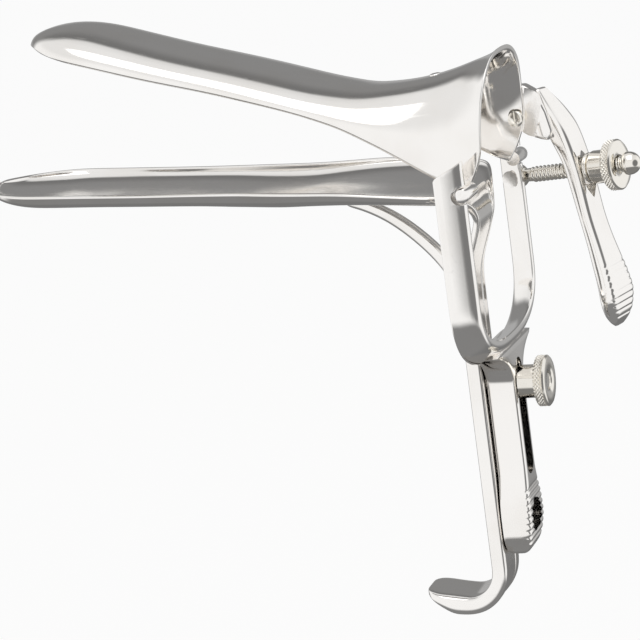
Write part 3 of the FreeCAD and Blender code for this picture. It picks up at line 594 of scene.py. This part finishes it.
def shank_rings():
    """Level slices of the neck, the shank and the finger pad, with the pad's grooves in its rear face."""
    neck = -FORK_LOW
    widths = [(neck - 0.5, 17.0), (neck + 0.5, 14.0), (neck + 1.5, 11.0), (neck + 2.5, 8.9),
              (neck + 4.0, 6.8), (neck + 6.0, 5.3), (neck + 8.5, SHANK_HALF), (-PAD_TOP - 4.0, SHANK_HALF),
              (-PAD_TOP - 1.0, SHANK_HALF + 0.25), (-PAD_TOP + 2.0, SHANK_HALF + 1.0),
              (-PAD_TOP + 5.0, PAD_HALF - 0.3), (-PAD_TOP + 8.0, PAD_HALF), (-SHANK_LOW - PAD_HALF, PAD_HALF)]
    backs = [(-PAD_TOP, SHANK_BACK), (-PAD_TOP + 5.0, SHANK_BACK + 0.27), (-PAD_TOP + 9.0, SHANK_BACK + 0.3),
             (-SHANK_LOW - 6.5, SHANK_BACK), (-SHANK_LOW - 2.6, SHANK_BACK - 0.9),
             (-SHANK_LOW - 1.0, SHANK_BACK - 2.2), (-SHANK_LOW, SHANK_BACK - 3.6)]
    first = PAD_TOP - 1.6
    heights = spread(FORK_LOW + 0.5, PAD_TOP + 3.0, 26) + [PAD_TOP + 1.5] + groove_heights(first)
    heights += [SHANK_LOW + v for v in (3.4, 2.6, 1.8, 1.1, 0.55, 0.2, 0.04)]
    rings = []
    for z in heights:
        half = flow(widths, -z)[0]
        below = SHANK_LOW + PAD_HALF - z
        if below > 0:
            half = math.sqrt(max(PAD_HALF ** 2 - below ** 2, 0.01))
        back = flow(backs, -z)[0] if z < PAD_TOP else SHANK_BACK
        cut = groove_cut(z, first) if z < PAD_TOP else 0.0
        edge = min(0.9, half * 0.4)
        side = [(SHANK_FRONT, 0.0), (SHANK_FRONT, half - edge), (SHANK_FRONT + 0.3 * edge, half - 0.3 * edge),
                (SHANK_FRONT + edge, half), ((SHANK_FRONT + back) / 2, half), (back - edge - cut * 0.6, half),
                (back - 0.3 * edge - cut, half - 0.3 * edge), (back - cut, half - edge),
                (back - cut, half * 0.4)]
        ring = side + [(x, -y) for x, y in side[:0:-1]]
        rings.append([(x, y, z) for x, y in ring])
    return rings


# Thumb lever.
# Height, back face, front face, near edge and far edge, in the linkage's frame.
LEVER_ROWS = [
    (-15.6, 10.6, 8.2, -LEVER_HALF, -1.6), (-13.4, 11.7, 8.8, -LEVER_HALF, 1.2),
    (-9.8, 13.6, 9.6, -LEVER_HALF, 3.7),
    (-5.4, 15.9, 11.2, -LEVER_HALF, LEVER_HALF), (1.8, 18.0, 14.2, -LEVER_HALF, LEVER_HALF),
    (6.5, 19.0, 15.2, -LEVER_HALF, LEVER_HALF), (11.6, 19.7, 16.2, -LEVER_HALF, LEVER_HALF),
    (16.0, 20.4, 17.1, -LEVER_HALF, LEVER_HALF), (20.9, 21.6, 18.1, -LEVER_HALF - 0.15, LEVER_HALF + 0.15),
    (26.0, 23.0, 19.2, -LEVER_HALF - 0.7, LEVER_HALF + 0.7),
    (30.5, 24.2, 20.2, -THUMB_HALF + 0.25, THUMB_HALF - 0.25),
    (34.5, 24.9, 20.7, -THUMB_HALF, THUMB_HALF), (38.0, 24.7, 21.0, -THUMB_HALF + 0.8, THUMB_HALF - 0.6),
    (41.0, 23.7, 21.7, -THUMB_HALF + 2.8, THUMB_HALF - 2.3), (42.5, 22.7, 22.0, -1.2, 2.0),
]


def lever_ring(z, cut):
    back, front, near, far = flow(LEVER_ROWS, -z)
    thick = back - front
    edge = min(1.3, thick * 0.36, (far - near) * 0.3)
    deep = back - cut
    section = [(front, near + edge), (front + 0.3 * edge, near + 0.3 * edge), (front + edge, near),
               (back - 1.15 * edge, near), (back - 0.35 * edge - 0.5 * cut, near + 0.25 * edge),
               (deep, near + 1.1 * edge), (deep, near * 0.45 + far * 0.05), (deep, far * 0.45),
               (deep, far - 1.1 * edge), (back - 0.35 * edge - cut, far - 0.25 * edge),
               (back - 1.15 * edge, far), (front + edge, far), (front + 0.3 * edge, far - 0.3 * edge),
               (front, far - edge), (front, far * 0.4), (front, near * 0.4)]
    # The slices lean so that they cross the strip squarely.
    return [(s, t, z + (back - s) * -0.28) for s, t in section]


def make_thumb_lever():
    first = -27.4
    heights = [15.5, 14.8] + spread(13.0, -22.0, 17) + [-25.0] + groove_heights(first)
    heights += [-41.0, -41.8, -42.3, -42.5]
    rings = [lever_ring(z, THUMB_GROOVE * groove_cut(z, first)) for z in heights]
    lever = as_object("thumb_lever_strip", tube(rings, in_side))
    round_off(lever, 2)
    # Root that hugs the collar's far side.
    outline = [(3.4, 10.4), (5.6, 7.6), (8.4, 7.0), (11.4, 4.8), (14.6, 3.6), (16.6, 3.2), (17.4, 5.5),
               (16.4, 10.0), (14.8, 14.6), (11.6, 16.8), (6.0, 16.2)]
    root = prism(outline, 18.6, 22.8, "y")
    ease_edges(root, 0.7)
    carve(lever, root, "UNION")
    core = as_object("tool", tube([upper_ring(x, 0.02)[:27] for x in spread(-14.0, 4.2, 13)], in_upper))
    carve(lever, core)
    slot = [(0, -0.2), (LEVER_SLOT, -2.6), (LEVER_SLOT, -9.0), (0, -11.8), (-LEVER_SLOT, -9.0),
            (-LEVER_SLOT, -2.6)]
    cutter = prism(slot, 6.0, 30.0, "x", in_side)
    ease_edges(cutter, 0.5)
    carve(lever, cutter)
    return finish(lever, steel, "top", "thumb_lever")


# Turned and threaded pieces.
def saw(value):
    """A triangle wave from 0 to 1 and back over each unit."""
    return 1.0 - abs((value % 1.0) * 2.0 - 1.0)


def threaded(start, end, radius, pitch, place, segments=36, blunt=0.5):
    """A rod with one helical thread, its crests at the full radius."""
    per_turn = 10
    rings = []
    count = int((end - start) / pitch * per_turn)
    for k in range(count + 1):
        along = start + (end - start) * k / count
        fade = max(min(1.0, (end - along) / blunt, (along - start) / blunt), 0.0)
        ring = []
        for i in range(segments):
            angle = 2 * math.pi * i / segments
            depth = THREAD_DEPTH * ease(saw(along / pitch - i / segments)) * fade + THREAD_END * (1.0 - fade)
            ring.append((along, (radius - depth) * math.cos(angle), (radius - depth) * math.sin(angle)))
        rings.append(ring)
    return tube(rings, place)


def make_lever_rod():
    rod = as_object("lever_rod_threaded", threaded(4.2, ROD_LEN + 0.2, ROD_RADIUS, THREAD_PITCH, on_rod))
    neck = [(2.0, 0.02), (2.0, 1.55), (3.6, 1.6), (4.5, 1.65), (4.5, 0.02)]
    join(rod, as_object("tool", lathed(neck, on_rod, 36)))
    eye = [(2.9 * math.cos(a), 2.9 * math.sin(a)) for a in spread(0.0, 2 * math.pi, 49)[:-1]]
    disc = prism(eye, -1.2, 1.2, "y", on_rod)
    ease_edges(disc, 0.35)
    join(rod, disc)
    return finish(rod, nickel, "rod", "lever_rod")


def make_rod_cap():
    profile = [(0.0, 0.02), (0.0, 2.2), (0.15, 2.6), (0.4, 2.7), (1.0, 2.7)]
    profile += [(1.0 + 2.7 * math.sin(a), 2.7 * math.cos(a)) for a in spread(0.12, math.pi / 2 - 0.02, 14)]
    cap = as_object("rod_end_cap", lathed(profile, lambda p: on_rod((p[0] + ROD_LEN, p[1], p[2])), 56))
    return finish(cap, nickel, "rod", "rod_cap")


def make_nut(name, place, bore, nose, node, body):
    """A turned nut: plain hub, diamond-knurled rim between two bevels, dished face round the bore."""
    hub = nose + HUB_LEN
    rim = hub + 0.25
    face = hub + NUT_THICK
    front = [(0.0, bore), (0.0, HUB_RADIUS - 0.35), (0.1, HUB_RADIUS - 0.1), (0.4, HUB_RADIUS)]
    if nose:
        front = [(0.0, bore), (0.0, NOSE_RADIUS - 0.35), (0.1, NOSE_RADIUS - 0.1), (0.35, NOSE_RADIUS),
                 (nose * 0.5, NOSE_RADIUS), (nose * 0.62, NOSE_RADIUS - 0.15),
                 (nose * 0.68, NOSE_RADIUS - 0.7), (nose - 0.02, NOSE_RADIUS - 0.7),
                 (nose, HUB_RADIUS - 0.35), (nose + 0.1, HUB_RADIUS - 0.1), (nose + 0.4, HUB_RADIUS)]
    knurled = [(along, NUT_RADIUS) for along in spread(rim, face - 0.45, 21)]
    back = [(hub - 0.3, HUB_RADIUS), (hub - 0.05, HUB_RADIUS + 0.1), (hub, HUB_RADIUS + 0.35),
            (hub, NUT_RADIUS - 0.45), (hub + 0.08, NUT_RADIUS - 0.3)]
    end = [(face - 0.4, NUT_RADIUS - 0.05), (face - 0.08, NUT_RADIUS - 0.38), (face, NUT_RADIUS - 0.5),
           (face, bore + 0.5), (face - 0.35, bore + 0.05), (face - 0.6, bore)]
    around = 40

    def knurl(along, angle, radius):
        if radius != NUT_RADIUS:
            return 0.0
        row = (along - rim) / 0.8
        turn = angle / (2 * math.pi) * around
        return -0.4 * (1.0 - min(saw(turn + row), saw(turn - row)))

    profile = front + back + knurled + end
    nut = as_object(name, lathed(profile, place, around * 8, knurl, closed=True))
    return finish(nut, nickel, body, node, angle=46.0)


def make_clamp_stud():
    def place(point):
        return (point[0], point[1], point[2] + STUD_Z)
    stud = as_object("clamp_stud_threaded", threaded(7.0, STUD_END, STUD_RADIUS, THREAD_PITCH, place))
    plug = [(STEM_FRONT, 0.02), (STEM_FRONT, 1.5), (STEM_FRONT + 0.2, 1.85), (STEM_FRONT + 0.6, STUD_RADIUS),
            (7.2, STUD_RADIUS), (7.2, 0.02)]
    join(stud, as_object("tool", lathed(plug, place, 40)))
    block = prism([(-2.64, -3.5), (2.64, -3.5), (2.64, 3.5), (-2.64, 3.5)], 0.9, 6.8, "x", place)
    ease_edges(block, 0.3)
    join(stud, block)
    return finish(stud, nickel, "bottom", "clamp_stud")


def make_rod_pin():
    profile = [(-3.5, 0.02), (-3.5, 1.2), (1.3, 1.2), (1.3, 2.0), (1.45, 2.1), (1.7, 2.0), (1.95, 1.6),
               (2.1, 0.9), (2.1, 0.02)]
    pin = as_object("rod_pivot_pin", lathed(profile, across_pivot, 40))
    return finish(pin, nickel, "handle", "rod_pin")


def make_lever_screw():
    def place(point):
        return (SCREW_X + point[1], 16.2 + point[0], SCREW_Z + point[2])
    profile = [(0.02, 0.02), (0.02, 1.2), (0.1, 1.6), (0.3, 1.84), (0.8, 1.9), (0.82, 1.5), (4.6, 1.5),
               (4.6, 0.02)]
    screw = as_object("lever_screw_slotted", lathed(profile, place, 48))
    slot = prism([(SCREW_X - 0.3, SCREW_Z - 3), (SCREW_X + 0.3, SCREW_Z - 3), (SCREW_X + 0.3, SCREW_Z + 3),
                  (SCREW_X - 0.3, SCREW_Z + 3)], 15.0, 16.75, "y")
    carve(screw, slot)
    return finish(screw, nickel, "top", "lever_screw")


def make_ridge_rivet():
    lean = math.atan(0.45)

    def place(point):
        along, side, out = point
        x = -16.6 - math.sin(lean) * along + math.cos(lean) * out
        return in_upper((x, side, 18.5 + math.cos(lean) * along + math.sin(lean) * out))
    profile = [(-1.6, 0.02), (-1.6, 1.2), (-1.4, 1.4), (1.15, 1.4), (1.4, 1.25), (1.55, 0.8), (1.6, 0.02)]
    rivet = as_object("ridge_rivet_head", lathed(profile, place, 36))
    return finish(rivet, steel, "top", "ridge_rivet")


# Finishes.
def node_group(name, inputs, outputs):
    group = bpy.data.node_groups.new(name, "ShaderNodeTree")
    for label, kind, value in inputs:
        socket = group.interface.new_socket(name=label, in_out="INPUT", socket_type=kind)
        if value is not None:
            socket.default_value = value
    for label, kind in outputs:
        group.interface.new_socket(name=label, in_out="OUTPUT", socket_type=kind)
    return group, group.nodes.new("NodeGroupInput"), group.nodes.new("NodeGroupOutput")


def calc(tree, operation, first, second, clamp=False):
    step = tree.nodes.new("ShaderNodeMath")
    step.operation = operation
    step.use_clamp = clamp
    for socket, value in zip(step.inputs, (first, second)):
        if isinstance(value, (int, float)):
            socket.default_value = value
        elif value is not None:
            tree.links.new(value, socket)
    return step.outputs[0]


def ramp(tree, value, low, high, start=0.0, end=1.0):
    step = tree.nodes.new("ShaderNodeMapRange")
    step.interpolation_type = "SMOOTHSTEP"
    for name, setting in (("From Min", low), ("From Max", high), ("To Min", start), ("To Max", end)):
        step.inputs[name].default_value = setting
    tree.links.new(value, step.inputs["Value"])
    return step.outputs["Result"]


def noise(tree, vector, scale, detail=2.0, rough=0.5):
    step = tree.nodes.new("ShaderNodeTexNoise")
    step.inputs["Scale"].default_value = scale
    step.inputs["Detail"].default_value = detail
    step.inputs["Roughness"].default_value = rough
    tree.links.new(vector, step.inputs["Vector"])
    return step.outputs["Fac"]


def polish_marks():
    """Fine buffing lines and a few longer hairline scratches."""
    group, given, out = node_group("polish_marks", [("Stretch", "NodeSocketVector", (1, 1, 1))],
                                   [("Lines", "NodeSocketFloat"), ("Scratches", "NodeSocketFloat")])
    place = group.nodes.new("ShaderNodeTexCoord")
    scaled = group.nodes.new("ShaderNodeVectorMath")
    scaled.operation = "MULTIPLY"
    group.links.new(place.outputs["Object"], scaled.inputs[0])
    group.links.new(given.outputs["Stretch"], scaled.inputs[1])
    lines = noise(group, scaled.outputs[0], 1.0, 3.0, 0.6)
    group.links.new(lines, out.inputs["Lines"])
    turned = group.nodes.new("ShaderNodeMapping")
    turned.inputs["Rotation"].default_value = (0.5, 0.9, 0.4)
    turned.inputs["Scale"].default_value = (60.0, 2600.0, 900.0)
    group.links.new(place.outputs["Object"], turned.inputs["Vector"])
    hair = noise(group, turned.outputs[0], 1.0, 1.0, 0.4)
    group.links.new(ramp(group, hair, 0.68, 0.76), out.inputs["Scratches"])
    return group


def handling():
    """Soft cloudy patches left by hands and wiping."""
    group, given, out = node_group("handling", [("Size", "NodeSocketFloat", 60.0)],
                                   [("Patches", "NodeSocketFloat")])
    place = group.nodes.new("ShaderNodeTexCoord")
    cloud = group.nodes.new("ShaderNodeTexNoise")
    cloud.inputs["Detail"].default_value = 4.0
    group.links.new(place.outputs["Object"], cloud.inputs["Vector"])
    group.links.new(given.outputs["Size"], cloud.inputs["Scale"])
    group.links.new(ramp(group, cloud.outputs["Fac"], 0.42, 0.68), out.inputs["Patches"])
    return group


def edge_wear_and_corner_shade():
    """Edges polished bright; inside corners rougher, and darker in colour as painted shade."""
    group, given, out = node_group("edge_wear_and_corner_shade", [],
                                   [("Edges", "NodeSocketFloat"), ("ShadedDullCorners", "NodeSocketFloat")])
    shape = group.nodes.new("ShaderNodeNewGeometry")
    point = shape.outputs["Pointiness"]
    group.links.new(ramp(group, point, 0.52, 0.60), out.inputs["Edges"])
    # Painted shade: low pointiness marks inside corners, which the metal darkens in colour and also roughens.
    group.links.new(ramp(group, point, 0.47, 0.40), out.inputs["ShadedDullCorners"])
    return group


def metal(name, groups, colour, dull_and_shade_colour, rough, smudge, stretch, line_depth):
    """Polished metal whose roughness and bump come from the shared groups, its base colour given painted
    shade in inside corners.
    """
    material = bpy.data.materials.new(name)
    material.use_nodes = True
    tree = material.node_tree
    tree.nodes.clear()
    out = tree.nodes.new("ShaderNodeOutputMaterial")
    shader = tree.nodes.new("ShaderNodeBsdfPrincipled")
    shader.inputs["Metallic"].default_value = 1.0
    tree.links.new(shader.outputs[0], out.inputs["Surface"])
    placed = []
    for group in groups:
        step = tree.nodes.new("ShaderNodeGroup")
        step.node_tree = group
        placed.append(step)
    marks, hands, wear_and_shade = placed
    marks.inputs["Stretch"].default_value = stretch
    mix = tree.nodes.new("ShaderNodeMix")
    mix.data_type = "RGBA"
    mix.inputs[6].default_value = (*colour, 1.0)
    mix.inputs[7].default_value = (*dull_and_shade_colour, 1.0)
    # Base colour goes toward the darker colour in handling patches and, as painted shade, in inside corners;
    # rubbed edges take it back.
    dull_and_shade = calc(tree, "MULTIPLY", hands.outputs["Patches"], 0.5)
    dull_and_shade = calc(tree, "ADD", dull_and_shade, calc(tree, "MULTIPLY", wear_and_shade.outputs["ShadedDullCorners"], 0.6), clamp=True)
    tree.links.new(calc(tree, "SUBTRACT", dull_and_shade, wear_and_shade.outputs["Edges"], clamp=True), mix.inputs["Factor"])
    tree.links.new(mix.outputs[2], shader.inputs["Base Color"])
    level = calc(tree, "MULTIPLY", hands.outputs["Patches"], smudge)
    level = calc(tree, "ADD", level, calc(tree, "MULTIPLY", marks.outputs["Scratches"], 0.10))
    level = calc(tree, "ADD", level, calc(tree, "MULTIPLY", wear_and_shade.outputs["ShadedDullCorners"], 0.08))
    level = calc(tree, "ADD", level, calc(tree, "MULTIPLY", marks.outputs["Lines"], rough))
    level = calc(tree, "ADD", level, rough * 0.5)
    tree.links.new(calc(tree, "SUBTRACT", level, calc(tree, "MULTIPLY", wear_and_shade.outputs["Edges"], rough * 0.4)),
                   shader.inputs["Roughness"])
    bump = tree.nodes.new("ShaderNodeBump")
    bump.inputs["Strength"].default_value = line_depth
    bump.inputs["Distance"].default_value = 0.00002
    height = calc(tree, "SUBTRACT", marks.outputs["Lines"],
                  calc(tree, "MULTIPLY", marks.outputs["Scratches"], 0.5))
    tree.links.new(height, bump.inputs["Height"])
    tree.links.new(bump.outputs[0], shader.inputs["Normal"])
    return material


# Setting: the lens and its sensor in millimetres, the floor in metres.
SENSOR = 36.0
LENS = 133.30
FLOOR_Z = -0.15
FLOOR_HALF = 20.0


def add_camera():
    data = bpy.data.cameras.new("view")
    data.sensor_width = SENSOR
    data.lens = LENS
    view = bpy.data.objects.new("view", data)
    right = Vector((0.93453, 0.32904, -0.13561))
    up = Vector((0.05355, 0.24670, 0.96761))
    back = Vector((0.35183, -0.91152, 0.21293))
    turn = Matrix((right, up, back)).transposed().to_4x4()
    view.matrix_world = Matrix.Translation(Vector((0.15343, -0.51188, 0.16910))) @ turn
    bpy.context.collection.objects.link(view)
    scene.camera = view


def add_world():
    """A pale room, white to the camera: the metal sees it darker below, behind and at one side."""
    world = bpy.data.worlds.new("studio")
    scene.world = world
    world.use_nodes = True
    tree = world.node_tree
    tree.nodes.clear()
    out = tree.nodes.new("ShaderNodeOutputWorld")
    back = tree.nodes.new("ShaderNodeBackground")
    look = tree.nodes.new("ShaderNodeTexCoord")
    parts = tree.nodes.new("ShaderNodeSeparateXYZ")
    tree.links.new(look.outputs["Generated"], parts.inputs[0])
    x, y, z = parts.outputs

    def levels(start, steps):
        """A grey that changes by each step between two heights."""
        total = start
        for low, high, change in steps:
            total = calc(tree, "ADD", total, ramp(tree, z, low, high, 0.0, change))
        return total

    room = levels(0.22, [(-0.60, -0.40, 0.72), (0.40, 0.70, -0.12)])
    rear = levels(0.18, [(-0.34, -0.20, 0.22), (0.06, 0.20, -0.16), (0.45, 0.70, -0.07), (0.74, 0.82, 0.56)])
    behind = calc(tree, "MULTIPLY", ramp(tree, y, 0.32, 0.60), ramp(tree, x, 0.54, 0.36))
    right = calc(tree, "SUBTRACT", calc(tree, "MULTIPLY", x, 0.94), calc(tree, "MULTIPLY", y, 0.34))
    right = ramp(tree, right, 0.80, 0.93)
    level = calc(tree, "ADD", calc(tree, "MULTIPLY", rear, behind),
                 calc(tree, "MULTIPLY", room, calc(tree, "SUBTRACT", 1.0, behind)))
    level = calc(tree, "ADD", calc(tree, "MULTIPLY", level, calc(tree, "SUBTRACT", 1.0, right)),
                 calc(tree, "MULTIPLY", right, 0.2))
    path = tree.nodes.new("ShaderNodeLightPath")
    mix = tree.nodes.new("ShaderNodeMix")
    mix.data_type = "RGBA"
    mix.inputs[6].default_value = (0.0, 0.0, 0.0, 1.0)
    mix.inputs[7].default_value = (1.0, 1.0, 1.0, 1.0)
    tree.links.new(calc(tree, "MAXIMUM", level, path.outputs["Is Camera Ray"]), mix.inputs["Factor"])
    tree.links.new(mix.outputs[2], back.inputs["Color"])
    tree.links.new(back.outputs[0], out.inputs["Surface"])


def add_floor():
    """A pale floor well under the foot: white to the camera, with the shade that falls on it."""
    mesh = bmesh.new()
    bmesh.ops.create_grid(mesh, x_segments=8, y_segments=8, size=FLOOR_HALF)
    floor = as_object("studio_floor", mesh)
    floor.location.z = FLOOR_Z
    floor.visible_glossy = False
    material = bpy.data.materials.new("pale_floor")
    material.use_nodes = True
    tree = material.node_tree
    tree.nodes.clear()
    out = tree.nodes.new("ShaderNodeOutputMaterial")
    paint = tree.nodes.new("ShaderNodeBsdfDiffuse")
    paint.inputs["Color"].default_value = (0.86, 0.86, 0.85, 1.0)
    glow = tree.nodes.new("ShaderNodeEmission")
    glow.inputs["Color"].default_value = (1.0, 1.0, 1.0, 1.0)
    path = tree.nodes.new("ShaderNodeLightPath")
    mix = tree.nodes.new("ShaderNodeMixShader")
    tree.links.new(calc(tree, "MULTIPLY", path.outputs["Is Camera Ray"], 0.9), mix.inputs[0])
    tree.links.new(paint.outputs[0], mix.inputs[1])
    tree.links.new(glow.outputs[0], mix.inputs[2])
    tree.links.new(mix.outputs[0], out.inputs["Surface"])
    floor.data.materials.append(material)


def add_lamp(name, place, aim, power, width):
    data = bpy.data.lights.new(name, "AREA")
    data.shape = "RECTANGLE"
    data.size, data.size_y = width
    data.energy = power
    lamp = bpy.data.objects.new(name, data)
    lamp.location = place
    lamp.rotation_euler = (Vector(aim) - Vector(place)).to_track_quat("-Z", "Y").to_euler()
    bpy.context.collection.objects.link(lamp)


groups = (polish_marks(), handling(), edge_wear_and_corner_shade())
steel = metal("mirror_steel", groups, (0.97, 0.95, 0.925), (0.90, 0.87, 0.83), 0.085, 0.05,
              (300.0, 1800.0, 1800.0), 0.12)
nickel = metal("bright_nickel", groups, (0.90, 0.87, 0.81), (0.74, 0.70, 0.63), 0.08, 0.06,
               (2400.0, 700.0, 700.0), 0.2)

make_upper_blade()
make_lower_blade()
make_yoke()
make_thumb_lever()
make_lever_rod()
make_rod_cap()
make_nut("lever_nut_knurled", lambda p: on_rod((p[0] + NUT_FROM, p[1], p[2])), 1.96, NUT_NOSE,
         "lever_nut", "nut")
make_nut("clamp_nut_knurled", lambda p: (SHANK_BACK + 0.1 + p[0], p[1], STUD_Z + p[2]), 2.06, 0.0,
         "clamp_nut", "clamp")
make_clamp_stud()
make_rod_pin()
make_lever_screw()
make_ridge_rivet()
add_camera()
add_world()
add_floor()
add_lamp("overhead_softbox", (0.1, -0.3, 0.9), (0.0, 0.0, 0.05), 1.5, (0.8, 0.8))
